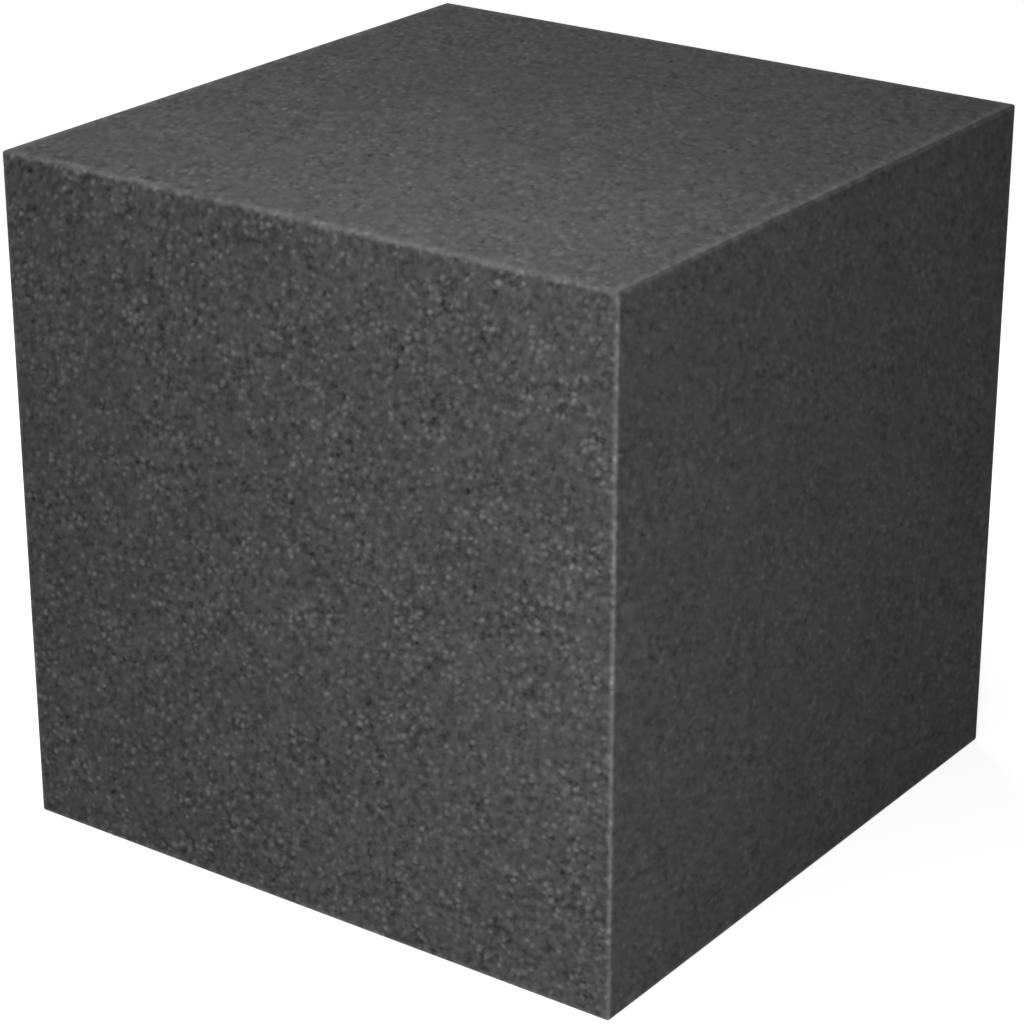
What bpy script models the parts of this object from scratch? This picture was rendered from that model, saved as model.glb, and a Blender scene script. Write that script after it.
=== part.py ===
"""Acoustic foam corner block, modelled in metres with +Z up.

The block is one piece of charcoal open-cell polyurethane foam, cut square on all six sides. It fills
the corner where two walls meet a ceiling or a floor, and three lines of foam bass trap butt against
it. Nothing is inside it and nothing is fixed to it: glue or tape on its faces holds it in place.

The origin is the centre of the base. The front face looks along -Y and the right face along +X, and
the base, back and left faces are the three that go against the room.

Run it with: blender --background --python part.py
"""

import bmesh
import bpy

# The block as it is cut: a 12 inch cube
BLOCK_WIDTH = 0.3048
BLOCK_DEPTH = 0.3048
BLOCK_HEIGHT = 0.3048

# A blade leaves foam edges crisp, and handling softens them to a small round
EDGE_RADIUS = 0.0012
FACETS_ACROSS_EDGE = 4
ROUND_PROFILE = 0.5

# Charcoal foam reflects about a twelfth of the light, evenly across the colours, with no gloss
FOAM_COLOUR = (0.080, 0.080, 0.080, 1.0)
FOAM_ROUGHNESS = 0.95
FOAM_GLOSS = 0.15


def clear_scene():
    """Removes whatever the file opened with."""
    for old in list(bpy.data.objects):
        bpy.data.objects.remove(old)


def foam_material():
    """Matt charcoal foam."""
    material = bpy.data.materials.new("charcoal_foam")
    material.use_nodes = True
    shader = material.node_tree.nodes["Principled BSDF"]
    shader.inputs["Base Color"].default_value = FOAM_COLOUR
    shader.inputs["Roughness"].default_value = FOAM_ROUGHNESS
    shader.inputs["Metallic"].default_value = 0.0
    shader.inputs["Specular IOR Level"].default_value = FOAM_GLOSS
    material.diffuse_color = FOAM_COLOUR
    return material


def cut_cube(width, depth, height, radius, facets):
    """A cube standing on the plane z = 0: six flat cut faces, with the edges and corners rounded."""
    block = bmesh.new()
    bmesh.ops.create_cube(block, size=1.0)
    bmesh.ops.scale(block, vec=(width, depth, height), verts=block.verts)
    bmesh.ops.translate(block, vec=(0.0, 0.0, height / 2), verts=block.verts)
    rounded = bmesh.ops.bevel(
        block,
        geom=block.edges[:] + block.verts[:],
        offset=radius,
        offset_type="OFFSET",
        affect="EDGES",
        segments=facets,
        profile=ROUND_PROFILE,
        clamp_overlap=True,
        material=-1,
    )
    for face in rounded["faces"]:
        face.smooth = True
    bmesh.ops.recalc_face_normals(block, faces=block.faces)
    mesh = bpy.data.meshes.new("foam_block")
    block.to_mesh(mesh)
    block.free()
    return mesh


def add_foam_block():
    """The whole product: one foam cube."""
    mesh = cut_cube(BLOCK_WIDTH, BLOCK_DEPTH, BLOCK_HEIGHT, EDGE_RADIUS, FACETS_ACROSS_EDGE)
    mesh.materials.append(foam_material())
    foam_block = bpy.data.objects.new("foam_block", mesh)
    bpy.context.scene.collection.objects.link(foam_block)
    return foam_block


clear_scene()
add_foam_block()
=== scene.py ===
# %% [markdown]
# # An acoustic foam corner block
#
# The object is one piece of charcoal open-cell foam, cut square on all six sides. It fills the corner
# where two walls meet a ceiling or a floor, and lines of foam bass trap butt against it. There is
# nothing to put together, so the whole lesson is about one surface: how cut foam breaks up light, and
# how a plain cube gets that surface in its mesh and in its material.

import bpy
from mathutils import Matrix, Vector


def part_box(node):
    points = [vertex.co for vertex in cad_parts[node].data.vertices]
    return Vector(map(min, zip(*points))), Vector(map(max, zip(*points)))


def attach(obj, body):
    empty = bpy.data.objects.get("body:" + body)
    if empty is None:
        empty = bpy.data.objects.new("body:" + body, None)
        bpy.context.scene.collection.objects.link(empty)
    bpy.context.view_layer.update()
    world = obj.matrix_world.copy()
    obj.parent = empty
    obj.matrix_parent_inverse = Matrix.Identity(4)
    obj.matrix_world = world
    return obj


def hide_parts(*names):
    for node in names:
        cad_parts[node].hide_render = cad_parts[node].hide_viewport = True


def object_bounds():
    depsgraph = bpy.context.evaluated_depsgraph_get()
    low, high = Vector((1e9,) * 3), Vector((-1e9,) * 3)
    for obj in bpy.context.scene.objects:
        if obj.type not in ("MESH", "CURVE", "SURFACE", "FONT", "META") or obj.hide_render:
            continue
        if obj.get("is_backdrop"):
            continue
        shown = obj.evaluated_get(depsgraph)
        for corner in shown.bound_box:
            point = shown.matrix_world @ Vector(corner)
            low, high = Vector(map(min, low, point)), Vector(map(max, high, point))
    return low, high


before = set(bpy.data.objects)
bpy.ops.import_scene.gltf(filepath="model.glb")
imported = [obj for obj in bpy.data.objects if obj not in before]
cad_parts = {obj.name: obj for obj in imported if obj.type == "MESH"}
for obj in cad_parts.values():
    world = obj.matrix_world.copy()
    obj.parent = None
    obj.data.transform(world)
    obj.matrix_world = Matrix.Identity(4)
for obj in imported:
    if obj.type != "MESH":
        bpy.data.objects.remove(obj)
cad_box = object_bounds()
print("box of the solid model:", [[round(x, 4) for x in corner] for corner in cad_box])

# %% [markdown]
# ## The block's size
#
# The frame holds the block as its solid model has it, in metres. It stands on the plane z = 0, and its
# front face looks along -Y. Its box gives every size that is needed below, so the scene follows when a
# size changes in the solid model. Small sizes are written in millimetres, as a maker would say them.

# %% Modules and the block's size
import math

import bmesh
import bpy
import numpy as np
from mathutils import Vector

scene = bpy.context.scene
low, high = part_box("foam_block")
width, depth, height = (high[i] - low[i] for i in range(3))
half_size = (width / 2, depth / 2, height / 2)
centre = Vector((low[i] + high[i]) / 2 for i in range(3))
MM = 0.001
print(f"foam block: {width / MM:.1f} x {depth / MM:.1f} x {height / MM:.1f} mm")

# %% [markdown]
# ## Camera
#
# The photograph looks down on the block's near upper corner from about 1.4 m, with the front face on
# the left and the right face on the right. The distance matters as much as the angle. From further
# away the upright edges would look parallel, and here they lean in towards the foot.
#
# The place and the angles come from the seven corners of the block that the photograph shows: a camera
# was moved until the corners of a cube of this size fell on them. The lens follows from how large the
# block is in the picture. Blender measures a lens against the longer side of the picture, which is its
# height here.

# %% Camera
PICTURE_HEIGHT = 1032
FOCAL_LENGTH_PX = 3277
SENSOR_WIDTH = 36.0
CAMERA_PLACE = Vector((0.7736, -1.0808, 0.6902))
LOOKS_AROUND = math.radians(35.746)
LOOKS_DOWN = math.radians(22.946)


def direction(around, up):
    """The way from the block to a place in front of it that is turned around it and raised."""
    flat = math.cos(up)
    return Vector((math.sin(around) * flat, -math.cos(around) * flat, math.sin(up)))


camera_data = bpy.data.cameras.new("photo_camera")
camera_data.sensor_width = SENSOR_WIDTH
camera_data.lens = FOCAL_LENGTH_PX / PICTURE_HEIGHT * SENSOR_WIDTH
camera = bpy.data.objects.new("photo_camera", camera_data)
camera.location = CAMERA_PLACE
camera.rotation_mode = "QUATERNION"
camera.rotation_quaternion = direction(LOOKS_AROUND, LOOKS_DOWN).to_track_quat("Z", "Y")
scene.collection.objects.link(camera)
scene.camera = camera
print(f"lens {camera_data.lens:.1f} mm, {(CAMERA_PLACE - centre).length:.2f} m from the block")

# %% [markdown]
# ## A finely divided cube
#
# The solid model has the right size and softly rounded edges, but six perfectly flat faces. Cut foam is
# pitted all over, and the pits show as grain wherever light rakes across them. A bump in the material
# could fake that, but the outline would stay dead straight, and a file of the bare shape would show
# nothing. So the mesh itself is made fine enough to carry the pits: about one vertex a millimetre.
#
# A cube with each side divided evenly is the simplest mesh that allows this. `create_cube` makes it,
# and `subdivide_edges` with `use_grid_fill` turns each side into a grid. The grids share the vertices
# along the edges, so the block stays one closed skin.

# %% A finely divided cube
ROWS = 320


def fine_cube(rows):
    """A cube from -1 to 1 with each side divided into rows by rows squares."""
    cube = bmesh.new()
    bmesh.ops.create_cube(cube, size=2.0)
    bmesh.ops.subdivide_edges(cube, edges=cube.edges[:], cuts=rows - 1, use_grid_fill=True)
    mesh = bpy.data.meshes.new("cut_foam_block")
    cube.to_mesh(mesh)
    cube.free()
    return mesh


block_mesh = fine_cube(ROWS)
print(f"fine cube: {len(block_mesh.polygons)} squares of {width / ROWS / MM:.2f} mm")

# %% [markdown]
# ## A map of six squares
#
# When the block is saved as a model, its colours are painted into one picture, and a map says which
# part of the picture goes where. An automatic unwrap of half a million squares is slow and leaves
# hundreds of islands. While the cube is still square, its map is plain arithmetic: each side gets one
# cell of a sheet of three by two, and a point's place on its side is its place in the cell. A thin
# margin keeps the colours of neighbouring cells apart.
#
# `foreach_get` and `foreach_set` move a property of all vertices at once, which is far quicker than a
# loop in Python.

# %% A map of six squares
MAP_NAME = "OFBake"
MAP_COLUMNS = 3
MAP_ROWS = 2
MAP_MARGIN = 0.004
ACROSS_ON_SIDE = (1, 0, 0)
UP_ON_SIDE = (2, 2, 1)
CORNERS_OF_SQUARE = 4


def numbers_of(items, name, across):
    """One property of every vertex, face or corner, as rows of an array."""
    values = np.empty(len(items) * across, np.float32)
    items.foreach_get(name, values)
    return values.reshape(-1, across)


def lay_map(mesh):
    """Gives each side of the cube its own cell of the map, before anything is rounded or pitted."""
    facing = numbers_of(mesh.polygons, "normal", 3)
    axis = np.abs(facing).argmax(1)
    side = axis * 2 + (facing[np.arange(len(facing)), axis] > 0)
    axis = np.repeat(axis, CORNERS_OF_SQUARE)
    side = np.repeat(side, CORNERS_OF_SQUARE)
    corners = numbers_of(mesh.loops, "vertex_index", 1).astype(int).ravel()
    here = numbers_of(mesh.vertices, "co", 3)[corners]
    each = np.arange(len(here))
    across = here[each, np.array(ACROSS_ON_SIDE)[axis]]
    up = here[each, np.array(UP_ON_SIDE)[axis]]
    on_side = np.stack([across, up], 1) / 2 + 0.5
    on_side = MAP_MARGIN + on_side * (1 - 2 * MAP_MARGIN)
    cell = np.stack([side % MAP_COLUMNS, side // MAP_COLUMNS], 1)
    places = (cell + on_side) / (MAP_COLUMNS, MAP_ROWS)
    layer = mesh.uv_layers.new(name=MAP_NAME)
    layer.data.foreach_set("uv", places.astype(np.float32).ravel())


lay_map(block_mesh)
print(f"map {block_mesh.uv_layers[0].name}: {MAP_COLUMNS} by {MAP_ROWS} cells")

# %% [markdown]
# ## Soften the edges
#
# A blade leaves a crisp edge, and handling softens it to a round of little more than a millimetre. On
# a mesh this fine a bevel would have hundreds of thousands of squares to work through. It is quicker to
# press the whole grid into the rounded form: each vertex goes to the nearest point of a core that is
# smaller all round by the radius, and then out again by the radius. On the flat faces that changes
# nothing, and along the edges it gives an exact round.
#
# Even rows would put only one vertex on that round. Before the pressing, the outer six rows of each
# side are drawn into a strip of 3 mm, half a millimetre apart, and the other rows share the rest.

# %% Soften the edges
EDGE_RADIUS = 1.2 * MM
EDGE_ROWS = 6
EDGE_STRIP = 3.0 * MM


def closer_at_edges(places, half):
    """Takes -1 to 1 to the real size, with the outer rows of each side drawn into a narrow strip."""
    inner = 1 - 2 * EDGE_ROWS / ROWS
    size = np.abs(places)
    flat = size / inner * (half - EDGE_STRIP)
    near = half - EDGE_STRIP + (size - inner) / (1 - inner) * EDGE_STRIP
    return np.sign(places) * np.where(size < inner, flat, near)


def press_round(mesh):
    """Moves each vertex from the square cube to the nearest point of the rounded block."""
    half = np.array(half_size)
    square = closer_at_edges(numbers_of(mesh.vertices, "co", 3).astype(float), half)
    core = np.clip(square, EDGE_RADIUS - half, half - EDGE_RADIUS)
    out = square - core
    out *= EDGE_RADIUS / np.linalg.norm(out, axis=1, keepdims=True)
    mesh.vertices.foreach_set("co", (core + out + np.array(centre)).astype(np.float32).ravel())
    mesh.update()


press_round(block_mesh)
block_mesh.shade_smooth()
block = bpy.data.objects.new("cut_foam_block", block_mesh)
scene.collection.objects.link(block)
print("rounded block:", [round(side / MM, 1) for side in block.dimensions], "mm")

# %% [markdown]
# ## Helpers for node trees
#
# The pattern of the foam is a chain of nodes. Written out in full, each node takes four or five lines,
# so one helper adds a node, sets it and feeds its inputs, and three more write a step of arithmetic in
# one line. The others make a smooth step, a noise and an empty group.
#
# The helpers don't mind which kind of tree they build in. That matters here, because the same pattern
# is needed once in a geometry tree, to move the mesh, and once in a shader tree, to colour it.

# %% Helpers for nodes
def add_node(tree, kind, inputs=None, **settings):
    """Adds a node. Its inputs take numbers, or other nodes' outputs."""
    made = tree.nodes.new(kind)
    for name, value in settings.items():
        setattr(made, name, value)
    for name, value in (inputs or {}).items():
        if isinstance(value, bpy.types.NodeSocket):
            tree.links.new(value, made.inputs[name])
        else:
            made.inputs[name].default_value = value
    return made


def calculate(tree, operation, *values):
    """One step of arithmetic on numbers or outputs."""
    inputs = dict(enumerate(values))
    return add_node(tree, "ShaderNodeMath", inputs, operation=operation).outputs[0]


def calculate_vector(tree, operation, *values):
    """One step of arithmetic on places or directions."""
    inputs = dict(enumerate(values))
    return add_node(tree, "ShaderNodeVectorMath", inputs, operation=operation).outputs[0]


def stretch_vector(tree, vector, factor):
    """A place, direction or colour made larger or smaller."""
    sockets = {0: vector, "Scale": factor}
    return add_node(tree, "ShaderNodeVectorMath", sockets, operation="SCALE").outputs[0]


# %% Helpers for masks
def ramp(tree, value, start, end, out_start=0.0, out_end=1.0):
    """A smooth step: out_start up to start, out_end from end on, and an even blend between."""
    sockets = {"Value": value, "From Min": start, "From Max": end}
    sockets.update({"To Min": out_start, "To Max": out_end})
    made = add_node(tree, "ShaderNodeMapRange", sockets, interpolation_type="SMOOTHSTEP")
    return made.outputs["Result"]


# %% Helpers for noise and groups
NOISE_MIDDLE = 0.5


def add_noise(tree, place, size, detail=1.0, name="Fac"):
    """A cloudy pattern between 0 and 1, with lumps of the given size."""
    sockets = {"Vector": place, "Scale": 1 / size, "Detail": detail}
    return add_node(tree, "ShaderNodeTexNoise", sockets).outputs[name]


def new_group(name, kind, takes, gives):
    """An empty node group. Its named inputs and outputs are made through its interface."""
    group = bpy.data.node_groups.new(name, kind)
    for label, socket, value in takes:
        made = group.interface.new_socket(label, in_out="INPUT", socket_type=socket)
        if value is not None:
            made.default_value = value
    for label, socket in gives:
        group.interface.new_socket(label, in_out="OUTPUT", socket_type=socket)
    return group


# %% [markdown]
# ## Which way the froth rose
#
# Foam is a froth that rose and set, and rising draws its cells out. Where a blade cuts across the rise
# it opens the cells, and the grain looks coarse and full of contrast. Where it cuts along the rise the
# grain looks finer and calmer. In the photograph the front face has about twice the contrast of the top
# and right faces, so the rise is taken to run more from front to back than any other way.
#
# The photograph also shows grain that looks equally round on all three faces, although each is seen at
# a slant. That fits cells drawn out along the line that the camera looks along, and a picture that is
# a little soft. So the pattern is made longer along one direction, which leans down and to the left on
# its way back. Real cells are drawn out by perhaps a third. The pattern is drawn out more, because it
# makes up for the softness as well. The way to do it in nodes: take how far a place lies along that
# direction, and take away most of it.

# %% Which way the froth rose
RISE_AROUND = math.radians(36.0)
RISE_UP = math.radians(23.0)
RISE = direction(RISE_AROUND, RISE_UP)
RISE_STRETCH = 2.7
SQUARE_CUT = (0.5, 0.8)


def add_rise(tree, place):
    """Draws the pattern out along the way the froth rose."""
    along = add_node(tree, "ShaderNodeVectorMath", {0: place, 1: RISE}, operation="DOT_PRODUCT")
    spare = calculate(tree, "MULTIPLY", along.outputs["Value"], 1 - 1 / RISE_STRETCH)
    return calculate_vector(tree, "SUBTRACT", place, stretch_vector(tree, RISE, spare))


def add_across_rise(tree, facing):
    """1 on the front and back, which are cut most nearly across the rise, and 0 on the other faces."""
    parts = add_node(tree, "ShaderNodeSeparateXYZ", {0: facing}).outputs
    return ramp(tree, calculate(tree, "ABSOLUTE", parts[1]), *SQUARE_CUT)


print("the froth rose along", [round(-x, 2) for x in RISE])

# %% [markdown]
# ## The cells of the foam
#
# Each cell that the blade cut open is a pit with a thin wall round it. A Voronoi texture in three
# dimensions is made of such cells, and the block's face cuts across it as the blade did. Its distance
# to the nearest wall makes the pit: nothing on the wall, and full depth soon inside it. Every cell also
# has a random number, which decides how deep it is, because a blade that only grazed a cell left a
# shallow pit. The randomness stays under 1, where the texture would leave small steps in that distance.
#
# Three noises keep it from looking like a honeycomb. The first stirs the places before they are looked
# up, so that the walls bend. The second lays soft lumps over the pits, for the struts that stand proud
# or are torn off. The third is much larger, and makes the grain stronger in some patches than in others.

# %% Pits
CELL = 2.7 * MM
CELL_JITTER = 0.85
STIR_SIZE = 5.0 * MM
STIR = 1.2 * MM
WALL = (0.02, 0.3)
GRAZED = 1.5


def add_stir(tree, place):
    """Moves the places about a little, so that what is drawn there bends."""
    noise = add_noise(tree, place, STIR_SIZE, name="Color")
    even = calculate_vector(tree, "SUBTRACT", noise, (NOISE_MIDDLE, NOISE_MIDDLE, NOISE_MIDDLE))
    return calculate_vector(tree, "ADD", place, stretch_vector(tree, even, 2 * STIR))


def add_pit(tree, place):
    """How deep the pits are: 0 on the walls between cells, and up to 1 in the deepest cells."""
    froth = {"Vector": add_stir(tree, place), "Scale": 1 / CELL, "Randomness": CELL_JITTER}
    number = add_node(tree, "ShaderNodeTexVoronoi", froth, feature="F1").outputs["Color"]
    chance = add_node(tree, "ShaderNodeSeparateXYZ", {0: number}).outputs[0]
    walls = add_node(tree, "ShaderNodeTexVoronoi", froth, feature="DISTANCE_TO_EDGE")
    deepest = calculate(tree, "POWER", chance, GRAZED)
    return calculate(tree, "MULTIPLY", ramp(tree, walls.outputs["Distance"], *WALL), deepest)


print(f"cells of {CELL / MM} mm, {CELL * RISE_STRETCH / MM:.1f} mm along the rise")

# %% Lumps and patches
LUMP_SIZE = 3.0 * MM
PATCH_SIZE = 16.0 * MM
PATCH_NOISE = (0.3, 0.7)
PATCH_STRENGTH = (0.75, 1.25)


def add_froth(tree, place):
    """Adds the froth to a tree. Gives the pits, the lumps over them, and the strength of the patches."""
    lump = calculate(tree, "SUBTRACT", add_noise(tree, place, LUMP_SIZE), NOISE_MIDDLE)
    patch = ramp(tree, add_noise(tree, place, PATCH_SIZE), *PATCH_NOISE, *PATCH_STRENGTH)
    return add_pit(tree, place), lump, patch


print(f"lumps of {LUMP_SIZE / MM} mm, patches of {PATCH_SIZE / MM} mm")

# %% [markdown]
# ## How near is an edge
#
# Near the block's edges two things change: the pits fade out, so that the edge stays straight, and the
# foam is painted paler, as a painted highlight. Both need a mask that is 1 on an edge and 0 further in.
# On a cube it takes no picture and no painting. A place has a distance to the nearest of the two faces
# on each axis, so it has three distances. On a face the least of them is nought, and the middle one is
# how far the nearest edge is. Minimum and maximum pick out the middle one of three.

# %% How near is an edge
def add_edge_nearness(tree, place, middle, half, reach):
    """1 on an edge of the block, and 0 from reach inwards."""
    off = calculate_vector(tree, "ABSOLUTE", calculate_vector(tree, "SUBTRACT", place, middle))
    inside = calculate_vector(tree, "SUBTRACT", half, off)
    parts = add_node(tree, "ShaderNodeSeparateXYZ", {0: inside}).outputs
    least = calculate(tree, "MINIMUM", parts[0], parts[1])
    most = calculate(tree, "MAXIMUM", parts[0], parts[1])
    between = calculate(tree, "MAXIMUM", least, calculate(tree, "MINIMUM", most, parts[2]))
    return ramp(tree, calculate(tree, "DIVIDE", between, reach), 0.0, 1.0, 1.0, 0.0)


# %% [markdown]
# ## Pits in the mesh
#
# The pits could come from the Displace modifier with a texture of its own, but then the dark pores of
# the material would lie elsewhere. Geometry nodes have the same Voronoi and noise nodes as materials,
# so `add_froth` builds its chain there too, and each vertex moves along its normal by what the material
# later darkens. The faces that lie along the rise get a shallower relief.
#
# The block is a padded piece, and cloth simulation is the usual way to make one. Here it would be the
# wrong way: the block has no cover, no seams and no filling that pushes outwards. It is cut from a
# solid bun, and its faces are flat.

# %% Nodes that press the pits in
PIT_DEPTH = 0.4 * MM
LUMP_HEIGHT = 0.6 * MM
RELIEF_ALONG = 0.42
CALM_EDGE = 4.0 * MM
SHAPE = "NodeSocketGeometry"
PRESS_TAKES = [("Geometry", SHAPE, None)]
PRESS_GIVES = [("Geometry", SHAPE)]


def pit_nodes():
    """Geometry nodes that press the pits in and leave the edges straight."""
    tree = new_group("press_in_pits", "GeometryNodeTree", PRESS_TAKES, PRESS_GIVES)
    given = add_node(tree, "NodeGroupInput")
    place = add_node(tree, "GeometryNodeInputPosition").outputs[0]
    facing = add_node(tree, "GeometryNodeInputNormal").outputs[0]
    pit, lump, patch = add_froth(tree, add_rise(tree, place))
    sunk = calculate(tree, "MULTIPLY", pit, -PIT_DEPTH)
    sunk = calculate(tree, "MULTIPLY_ADD", lump, LUMP_HEIGHT, sunk)
    sunk = calculate(tree, "MULTIPLY", sunk, patch)
    relief = ramp(tree, add_across_rise(tree, facing), 0.0, 1.0, RELIEF_ALONG, 1.0)
    sunk = calculate(tree, "MULTIPLY", sunk, relief)
    calm = add_edge_nearness(tree, place, tuple(centre), half_size, CALM_EDGE)
    sunk = calculate(tree, "MULTIPLY", sunk, calculate(tree, "SUBTRACT", 1.0, calm))
    sockets = {"Geometry": given.outputs[0], "Offset": stretch_vector(tree, facing, sunk)}
    moved = add_node(tree, "GeometryNodeSetPosition", sockets)
    add_node(tree, "NodeGroupOutput", {0: moved.outputs[0]})
    return tree


press_in_pits = pit_nodes()
print(f"group {press_in_pits.name}: {len(press_in_pits.nodes)} nodes")

# %% [markdown]
# ## Apply the nodes
#
# A live modifier would be worked out again for every view. Applying it once leaves a plain mesh that
# anyone can open. `new_from_object` copies the mesh as the modifiers make it, the map included.

# %% Apply the nodes
def apply_modifiers(piece):
    """Leaves the piece with a plain mesh, as its modifiers make it."""
    made = piece.evaluated_get(bpy.context.evaluated_depsgraph_get())
    finished = bpy.data.meshes.new_from_object(made)
    piece.modifiers.clear()
    plain = piece.data
    piece.data = finished
    bpy.data.meshes.remove(plain)
    finished.name = piece.name


press = block.modifiers.new("press_in_pits", "NODES")
press.node_group = press_in_pits
apply_modifiers(block)
print("pitted block:", [round(side / MM, 1) for side in block.dimensions], "mm")

# %% [markdown]
# ## The colour of cut foam, with painted shade and highlights
#
# Charcoal foam is one colour all through, and what looks like pepper and salt is light. A pore traps
# it and looks dark. A strut that lies flat to the eye looks pale. Both are smaller than the mesh can
# show, so the material paints that shade and those highlights into the colour, with the same froth as
# the mesh:
#
# - the pits are painted darker, as painted shade, and the lumps are painted lighter and darker, as
#   painted highlight and shade
# - pale flecks, painted highlights on the struts, are dots round the middles of a second set of Voronoi
#   cells
# - a mottle of about two cells, and clouds of a few centimetres, keep the face from looking even
#
# A noise cut off at a level is the shorter way to flecks, but it draws them out into threads, and the
# photograph shows dots. Stirring the places bends the dots, so that no two are alike, and a random
# number for each cell makes a few of them bright and most of them faint.
#
# The contrast falls where the face lies along the rise, for the flecks most of all, and near the edges.
# Each effect is a number that multiplies the foam's own colour, and each has an input of its own on the
# group, so that a paler or coarser foam needs no new nodes.

# %% Flecks
FLECK_SPACING = 3.0 * MM
FLECK_REACH = 0.62


# The flecks are the struts: painted highlights in the colour, and a small bump in the material.
def add_flecks(tree, place):
    """Scattered dots: 0 between them, and up to 1 in the middle of the palest."""
    stirred = {"Vector": add_stir(tree, place), "Scale": 1 / FLECK_SPACING}
    nearest = add_node(tree, "ShaderNodeTexVoronoi", stirred, feature="F1").outputs
    chance = add_node(tree, "ShaderNodeSeparateXYZ", {0: nearest["Color"]}).outputs[0]
    dot = ramp(tree, nearest["Distance"], 0.0, FLECK_REACH, 1.0, 0.0)
    return calculate(tree, "MULTIPLY", dot, chance)


# %% Grain
FLECKS_ALONG = 0.65


def add_grain(tree, given):
    """The fine pattern of painted shade and highlight, above and below 0, with the pits and the flecks
    that are in it.
    """
    risen = add_rise(tree, given["Place"])
    pit, lump, patch = add_froth(tree, risen)
    fleck = add_flecks(tree, risen)
    share = ramp(tree, given["Across Rise"], 0.0, 1.0, FLECKS_ALONG, 1.0)
    painted_highlight = calculate(tree, "MULTIPLY", given["Fleck Highlight"], share)
    # The lumps paint the colour lighter and darker, the flecks add painted highlights, and the pits take
    # off painted shade.
    grain = calculate(tree, "MULTIPLY", lump, given["Lump Contrast"])
    grain = calculate(tree, "MULTIPLY_ADD", fleck, painted_highlight, grain)
    grain = calculate(tree, "SUBTRACT", grain, calculate(tree, "MULTIPLY", pit, given["Pit Shade"]))
    return calculate(tree, "MULTIPLY", grain, patch), pit, fleck


# %% Contrast and clouds
MOTTLE_SIZE = 5.0 * MM
CLOUD_SIZE = 40.0 * MM
CLOUD_DETAIL = 2.0
FRAY_SIZE = 4.0 * MM
EDGE_CALM = 0.3


def add_contrast(tree, given):
    """How strong the grain is: full across the rise, less along it, and less at the edges."""
    rest = calculate(tree, "SUBTRACT", 1.0, given["Contrast Along Rise"])
    strength = calculate(tree, "MULTIPLY_ADD", given["Across Rise"], rest, given["Contrast Along Rise"])
    calmer = calculate(tree, "MULTIPLY_ADD", given["Edge"], -EDGE_CALM, 1.0)
    return calculate(tree, "MULTIPLY", strength, calmer)


def add_clouds(tree, place, size, contrast, detail=1.0):
    """A slow change of shade, above and below 0."""
    cloud = calculate(tree, "SUBTRACT", add_noise(tree, place, size, detail), NOISE_MIDDLE)
    return calculate(tree, "MULTIPLY", cloud, contrast)


# %% The foam's colour as a group
NUMBER = "NodeSocketFloat"
PLACE = "NodeSocketVector"
TINT = "NodeSocketColor"
FOAM_TAKES = [
    ("Place", PLACE, None),
    ("Across Rise", NUMBER, 1.0),
    ("Edge", NUMBER, 0.0),
    ("Foam Colour", TINT, None),
    # Pit Shade, Lump Contrast and Fleck Highlight set the painted shade and highlights of the grain.
    ("Pit Shade", NUMBER, 0.3),
    ("Lump Contrast", NUMBER, 1.5),
    ("Fleck Highlight", NUMBER, 1.3),
    ("Contrast Along Rise", NUMBER, 0.6),
    ("Mottle Contrast", NUMBER, 0.6),
    ("Cloudiness", NUMBER, 0.3),
    ("Painted Edge Highlight", NUMBER, 0.8),
    ("Edge Fray", NUMBER, 2.0),
]
FOAM_GIVES = [("Colour", TINT), ("Roughness", NUMBER), ("Height", NUMBER)]
WALL_ROUGHNESS = 0.9
PIT_ROUGHNESS = 0.06


def foam_group():
    """Painted shade in the pits, lumps painted lighter and darker, flecks painted as highlights, mottle,
    clouds, and a painted highlight on the frayed edges.
    """
    tree = new_group("cut_foam", "ShaderNodeTree", FOAM_TAKES, FOAM_GIVES)
    given = add_node(tree, "NodeGroupInput").outputs
    grain, pit, fleck = add_grain(tree, given)
    shade = calculate(tree, "MULTIPLY_ADD", grain, add_contrast(tree, given), 1.0)
    risen = add_rise(tree, given["Place"])
    mottle = add_clouds(tree, risen, MOTTLE_SIZE, given["Mottle Contrast"])
    shade = calculate(tree, "ADD", shade, mottle)
    clouds = add_clouds(tree, given["Place"], CLOUD_SIZE, given["Cloudiness"], CLOUD_DETAIL)
    shade = calculate(tree, "MULTIPLY", shade, calculate(tree, "ADD", clouds, 1.0))
    # Along the edges the colour is painted paler, as a painted highlight, and a noise makes it uneven.
    fray = add_clouds(tree, risen, FRAY_SIZE, given["Edge Fray"])
    frayed = calculate(tree, "MULTIPLY", given["Edge"], calculate(tree, "ADD", fray, 1.0))
    paler = calculate(tree, "MULTIPLY_ADD", frayed, given["Painted Edge Highlight"], 1.0)
    colour = stretch_vector(tree, given["Foam Colour"], calculate(tree, "MULTIPLY", shade, paler))
    rough = calculate(tree, "MULTIPLY_ADD", pit, PIT_ROUGHNESS, WALL_ROUGHNESS)
    add_node(tree, "NodeGroupOutput", {0: colour, 1: rough, 2: fleck})
    return tree


foam_colours = foam_group()
print(f"group {foam_colours.name}: {len(foam_colours.nodes)} nodes")

# %% [markdown]
# ## Painted highlight on the edges
#
# All along the edges the photograph shows a pale line. The cut struts have no neighbours there, so they
# fray, stand out and catch light from both sides, and the material paints that light into the colour as
# a highlight. On the upright faces the line is narrow and bright. On the top it is a band of some 7 mm
# that fades inwards. It isn't even along its length: a noise of 4 mm in the foam's group makes it bright
# here and faint there. The mask from above becomes a group, so that its reach can be set where it is
# used.

# %% Painted edge highlight: its mask as a group
EDGE_TAKES = [
    ("Place", PLACE, None),
    ("Centre", PLACE, None),
    ("Half Size", PLACE, None),
    ("Reach", NUMBER, 3.0 * MM),
]


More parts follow.
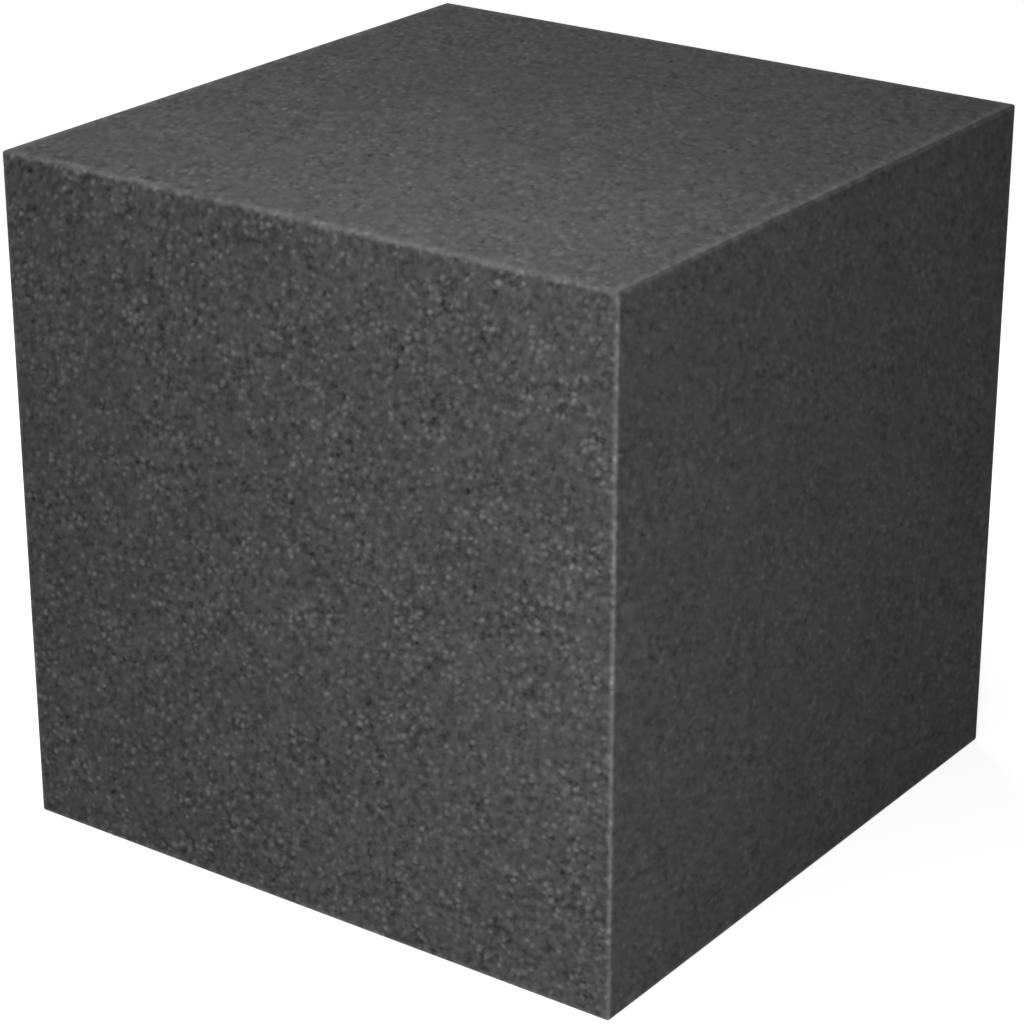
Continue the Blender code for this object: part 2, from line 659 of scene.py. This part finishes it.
def edge_group():
    """How near a place is to an edge of the block, as a mask."""
    tree = new_group("edge_wear", "ShaderNodeTree", EDGE_TAKES, [("Mask", NUMBER)])
    given = add_node(tree, "NodeGroupInput").outputs
    mask = add_edge_nearness(tree, given["Place"], given["Centre"], given["Half Size"], given["Reach"])
    add_node(tree, "NodeGroupOutput", {0: mask})
    return tree


# The mask that places the painted highlight along the edges.
edge_wear = edge_group()
print(f"group {edge_wear.name}: {len(edge_wear.nodes)} nodes")

# %% Painted edge highlight of this block
SIDE_EDGE = 2.8 * MM
TOP_EDGE = 7.0 * MM
TOP_REACH = (0.3, 0.8)


def place_edge_highlight(tree, place, upwards):
    """The mask of the painted edge highlight, narrow on the upright faces and wide on the top."""
    wear = add_node(tree, "ShaderNodeGroup", node_tree=edge_wear)
    tree.links.new(place, wear.inputs["Place"])
    wear.inputs["Centre"].default_value = centre
    wear.inputs["Half Size"].default_value = half_size
    tree.links.new(ramp(tree, upwards, *TOP_REACH, SIDE_EDGE, TOP_EDGE), wear.inputs["Reach"])
    return wear.outputs["Mask"]


# %% [markdown]
# ## The foam's material
#
# The foam reflects about a thirteenth of the light, evenly across the colours. It has no gloss to
# speak of: the roughness is 0.9 on the walls and a little more in the pits, and the specular level is
# well under the usual 0.5, because a surface that is mostly holes sends back little as a mirror does. A
# bump of under a tenth of a millimetre lifts the flecks, because the struts that look pale are those
# that stand proud, and that is too fine for the mesh.
#
# The patterns read the block's own coordinates, so they stay where they are when it is moved, and all
# six faces cut through one and the same froth as the real ones do.

# %% This foam's values
FOAM_VALUES = {
    "Foam Colour": (0.074, 0.074, 0.074, 1.0),
    # Painted shade in the pits, painted shade and highlight on the lumps, and painted highlights on the
    # flecks.
    "Pit Shade": 0.3,
    "Lump Contrast": 1.42,
    "Fleck Highlight": 1.3,
    "Contrast Along Rise": 0.65,
    "Mottle Contrast": 0.6,
    "Cloudiness": 0.3,
    "Edge Fray": 2.0,
}
# How strong the painted highlight along the edges is: on the upright faces, on the top, and where one
# turns into the other.
SIDE_EDGE_HIGHLIGHT = 0.89
TOP_EDGE_HIGHLIGHT = 0.52
TOP_HIGHLIGHT_TURN = (0.1, 0.6)


def place_foam(tree, place, facing, upwards):
    """The foam's colours, with the values of this foam."""
    foam = add_node(tree, "ShaderNodeGroup", node_tree=foam_colours)
    for name, value in FOAM_VALUES.items():
        foam.inputs[name].default_value = value
    tree.links.new(place, foam.inputs["Place"])
    tree.links.new(add_across_rise(tree, facing), foam.inputs["Across Rise"])
    tree.links.new(place_edge_highlight(tree, place, upwards), foam.inputs["Edge"])
    # The painted edge highlight is set stronger on the upright faces than on the top.
    painted_highlight = ramp(tree, upwards, *TOP_HIGHLIGHT_TURN, SIDE_EDGE_HIGHLIGHT, TOP_EDGE_HIGHLIGHT)
    tree.links.new(painted_highlight, foam.inputs["Painted Edge Highlight"])
    return foam.outputs


# %% Foam material
STRUT_BUMP = 0.08 * MM
FOAM_GLOSS = 0.08


def foam_material():
    """Charcoal foam, with its pattern laid out in the block's own space."""
    material = bpy.data.materials.new("charcoal_foam")
    material.use_nodes = True
    tree = material.node_tree
    shader = tree.nodes["Principled BSDF"]
    own = add_node(tree, "ShaderNodeTexCoord").outputs
    upwards = add_node(tree, "ShaderNodeSeparateXYZ", {0: own["Normal"]}).outputs[2]
    foam = place_foam(tree, own["Object"], own["Normal"], upwards)
    bump = add_node(tree, "ShaderNodeBump", {"Height": foam["Height"], "Distance": STRUT_BUMP})
    tree.links.new(foam["Colour"], shader.inputs["Base Color"])
    tree.links.new(foam["Roughness"], shader.inputs["Roughness"])
    tree.links.new(bump.outputs["Normal"], shader.inputs["Normal"])
    shader.inputs["Specular IOR Level"].default_value = FOAM_GLOSS
    return material


block.data.materials.clear()
block.data.materials.append(foam_material())
print("material:", block.data.materials[0].name)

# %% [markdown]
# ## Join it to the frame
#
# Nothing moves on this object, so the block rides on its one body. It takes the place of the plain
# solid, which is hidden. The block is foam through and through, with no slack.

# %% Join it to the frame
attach(block, "root")
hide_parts("foam_block")
print(f"{block.name}: {2 * len(block.data.polygons)} triangles")

# %% [markdown]
# ## Floor
#
# The photograph's background is plain white. A lamp that made a pale floor that bright would light the
# block far too much. So the floor is given some light of its own, but only for the rays that show it:
# those that come straight from the camera, off something glossy or through something clear, which Light
# Path tells apart. The matt light on the block isn't changed by it, and the shadow that the lamps cast
# still darkens the floor near the block. Further away the lamps fade, so the floor's own light rises
# there, and it meets the white background with no visible line.

# %% Rays that show the background
def add_seen(tree):
    """1 for the rays that come from the camera, off something glossy or through something clear."""
    rays = add_node(tree, "ShaderNodeLightPath").outputs
    seen = calculate(tree, "MAXIMUM", rays["Is Camera Ray"], rays["Is Glossy Ray"])
    return calculate(tree, "MAXIMUM", seen, rays["Is Transmission Ray"])


# %% Floor material
WHITE = (1.0, 1.0, 1.0, 1.0)
FLOOR_COLOUR = (0.8, 0.8, 0.8, 1.0)
FLOOR_ROUGHNESS = 0.9
NEAR_FLOOR = 0.3
FAR_FLOOR = 1.6
NEAR_FLOOR_LIGHT = 0.82
FAR_FLOOR_LIGHT = 0.94


def floor_material():
    """A pale matt floor that looks white to the camera."""
    material = bpy.data.materials.new("pale_floor")
    material.use_nodes = True
    tree = material.node_tree
    shader = tree.nodes["Principled BSDF"]
    shader.inputs["Base Color"].default_value = FLOOR_COLOUR
    shader.inputs["Roughness"].default_value = FLOOR_ROUGHNESS
    shader.inputs["Specular IOR Level"].default_value = 0.0
    shader.inputs["Emission Color"].default_value = WHITE
    place = add_node(tree, "ShaderNodeTexCoord").outputs["Object"]
    away = add_node(tree, "ShaderNodeVectorMath", {0: place}, operation="LENGTH").outputs["Value"]
    light = ramp(tree, away, NEAR_FLOOR, FAR_FLOOR, NEAR_FLOOR_LIGHT, FAR_FLOOR_LIGHT)
    light_seen = calculate(tree, "MULTIPLY", add_seen(tree), light)
    tree.links.new(light_seen, shader.inputs["Emission Strength"])
    return material


# %% Floor
FLOOR_SIZE = 30.0


def add_floor():
    """One large square on the plane z = 0."""
    square = bmesh.new()
    bmesh.ops.create_grid(square, x_segments=1, y_segments=1, size=FLOOR_SIZE / 2)
    mesh = bpy.data.meshes.new("floor")
    square.to_mesh(mesh)
    square.free()
    mesh.materials.append(floor_material())
    made = bpy.data.objects.new("floor", mesh)
    scene.collection.objects.link(made)
    return made


floor = add_floor()
floor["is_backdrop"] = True
print("floor:", [round(side, 1) for side in floor.dimensions], "m")

# %% [markdown]
# ## World
#
# The world is white for the same rays, and weak for all the others, as soft light that reaches every
# side. Metal or glass would show the white background. On the foam it leaves only a faint veil where a
# face is seen at a shallow angle, as the top is, and the real block has that too.

# %% World
WORLD_LIGHT = 0.06
SEEN_LIGHT = 1.0

world = bpy.data.worlds.new("studio")
scene.world = world
world.use_nodes = True
background = world.node_tree.nodes["Background"]
seen = add_seen(world.node_tree)
strength = calculate(world.node_tree, "MULTIPLY_ADD", seen, SEEN_LIGHT - WORLD_LIGHT, WORLD_LIGHT)
background.inputs["Color"].default_value = WHITE
world.node_tree.links.new(strength, background.inputs["Strength"])
print(f"world: {WORLD_LIGHT} on the block, {SEEN_LIGHT} behind it")

# %% [markdown]
# ## Lamps
#
# The light can be read off the photograph. The top is the brightest face and fades from its front
# corner to the back, so the lamps are near and above the front. The front face is brighter than the
# right one, and the right one fades away from the near edge, so most of the light comes from the front.
# There is no hard shadow, so every lamp is a softbox.
#
# - one over the left and one over the near corner light the top and rake down the front
# - a small one just above the near corner makes the top's brightest spot
# - one low in front, under the camera, opens up the two upright faces
# - one behind keeps the back readable from the other side, and adds nothing to what the camera sees
#
# The powers are low, because no lamp is more than a metre away. They are set so that a colour comes out
# about as bright as it was written.

# %% Lamps
NEAR_CORNER = Vector((0.1, -0.1, 0.2))
NEAR_TOP_CORNER = Vector((0.12, -0.12, high[2]))
ABOVE_FLOOR = 0.02


def softbox(name, around, up, away, size, power, aim):
    """A square lamp that faces the place it is aimed at, with its lower edge above the floor."""
    data = bpy.data.lights.new(name, "AREA")
    data.shape = "SQUARE"
    data.size = size
    data.energy = power
    lamp = bpy.data.objects.new(name, data)
    lamp.location = aim + direction(math.radians(around), math.radians(up)) * away
    lamp.location.z = max(lamp.location.z, size / 2 + ABOVE_FLOOR)
    lamp.rotation_mode = "QUATERNION"
    lamp.rotation_quaternion = (lamp.location - aim).to_track_quat("Z", "Y")
    lamp.visible_camera = False
    scene.collection.objects.link(lamp)
    print(f"{name}: {power} W at", [round(x, 2) for x in lamp.location])


softbox("over_the_left", around=-60, up=65, away=0.8, size=0.5, power=3.4, aim=centre)
softbox("over_near_corner", around=20, up=65, away=0.75, size=0.4, power=0.7, aim=NEAR_CORNER)
softbox("top_corner", around=-27, up=72, away=0.2, size=0.15, power=0.26, aim=NEAR_TOP_CORNER)
softbox("low_in_front", around=38, up=1, away=1.0, size=0.3, power=4.75, aim=centre)
softbox("behind", around=218, up=0, away=0.8, size=0.25, power=2.4, aim=centre)

# %% [markdown]
# ## The last check
#
# The pits and lumps must not change the block's size. The box of the solid model and the box of the
# finished piece are compared, and the largest difference is printed: it should be within the height of a
# lump.

# %% Sizes
scene.view_settings.view_transform = "Standard"
bpy.context.view_layer.update()
seen_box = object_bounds()
grown = max(abs(a - b) for one, two in zip(cad_box, seen_box) for a, b in zip(one, two))
print(f"the finished block differs from the solid by at most {grown / MM:.2f} mm")
